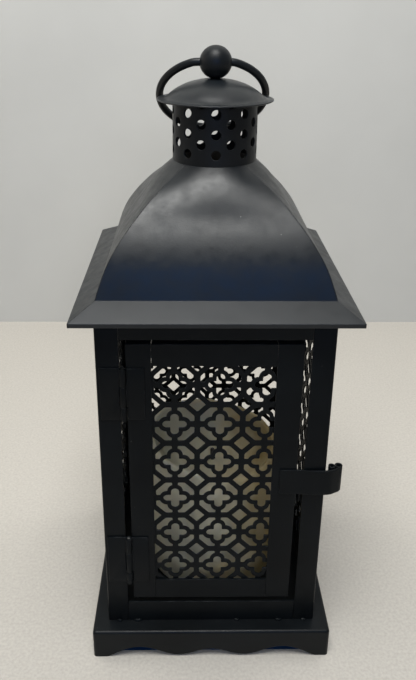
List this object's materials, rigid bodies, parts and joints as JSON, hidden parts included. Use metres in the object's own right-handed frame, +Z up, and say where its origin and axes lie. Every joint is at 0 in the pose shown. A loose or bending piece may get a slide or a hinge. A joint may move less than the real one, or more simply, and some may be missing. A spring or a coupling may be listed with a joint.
{
  "type": "candle lantern",
  "caption": "Square black sheet-metal fretwork lantern with a hinged door, curved roof, pierced chimney, ring handle and a battery pillar candle.",
  "frame": {"origin": "centre of the base footprint at floor level", "axes": "+Z up, door on -Y, +X to the right seen from the door"},
  "size_m": [0.1318, 0.1318, 0.3153],
  "materials": {
    "black_paint": "satin black powder coat",
    "black_satin": "satin black paint",
    "plated_steel": "zinc plated",
    "wax": "ivory wax",
    "ivory_plastic": "moulded ivory plastic",
    "black_plastic": "moulded black plastic",
    "cell_jacket": "plain printed-film jacket",
    "board_green": "solder mask",
    "lamp_lens": "clear amber lens"
  },
  "bodies": {
    "lantern_frame": {"base_tray": "black_paint", "cap_lid": "black_satin", "chimney_tube": "black_paint", "corner_post_front_left": "black_paint", "corner_post_front_right": "black_paint", "corner_post_rear_left": "black_paint", "corner_post_rear_right": "black_paint", "finial_ball": "black_satin", "finial_screw": "plated_steel", "finial_washer": "plated_steel", "front_bottom_rail": "black_paint", "front_header_rail": "black_paint", "left_bottom_rail": "black_paint", "left_fret_panel": "black_paint", "left_top_rail": "black_paint", "lower_hinge_pin": "plated_steel", "lower_hinge_post_leaf": "black_paint", "rear_bottom_rail": "black_paint", "rear_fret_panel": "black_paint", "rear_top_rail": "black_paint", "right_bottom_rail": "black_paint", "right_fret_panel": "black_paint", "right_top_rail": "black_paint", "roof_panel_front": "black_paint", "roof_panel_left": "black_paint", "roof_panel_rear": "black_paint", "roof_panel_right": "black_paint", "upper_hinge_pin": "plated_steel", "upper_hinge_post_leaf": "black_paint"},
    "door": {"door_bottom_rail": "black_paint", "door_fret_panel": "black_paint", "door_left_stile": "black_paint", "door_right_stile": "black_paint", "door_top_rail": "black_paint", "lower_hinge_door_leaf": "black_paint", "upper_hinge_door_leaf": "black_paint"},
    "latch": {"latch_clip": "black_paint"},
    "handle": {"handle_ring": "black_satin"},
    "candle": {"candle_batteries": "cell_jacket", "candle_battery_door": "ivory_plastic", "candle_circuit_board": "board_green", "candle_contact_plates": "plated_steel", "candle_contact_springs": "plated_steel", "candle_core_housing": "ivory_plastic", "candle_led_lamp": "lamp_lens", "candle_wax_shell": "wax", "candle_wick": "black_plastic"},
    "candle_switch": {"candle_switch_slider": "black_plastic"}
  },
  "joints": [
    {"name": "door_swing", "type": "hinge", "parent": "lantern_frame", "child": "door", "pos_m": [-0.0434, -0.0571, 0.11], "axis": [0, 0, -1], "range_deg": [0, 170]},
    {"name": "latch_flex", "type": "hinge", "parent": "door", "child": "latch", "pos_m": [0.033, -0.0565, 0.11], "axis": [0, 0, -1], "range_deg": [0, 6], "stiffness_Nm_per_rad": 0.5},
    {"name": "handle_swing", "type": "hinge", "parent": "lantern_frame", "child": "handle", "pos_m": [0, 0, 0.3075], "axis": [1, 0, 0], "range_deg": [0, 270]},
    {"name": "candle_lift", "type": "slide", "parent": "lantern_frame", "child": "candle", "axis": [0, 0, 1], "range_m": [0, 0.03]},
    {"name": "switch_slide", "type": "slide", "parent": "candle", "child": "candle_switch", "axis": [1, 0, 0], "range_m": [-0.002, 0.002]}
  ]
}
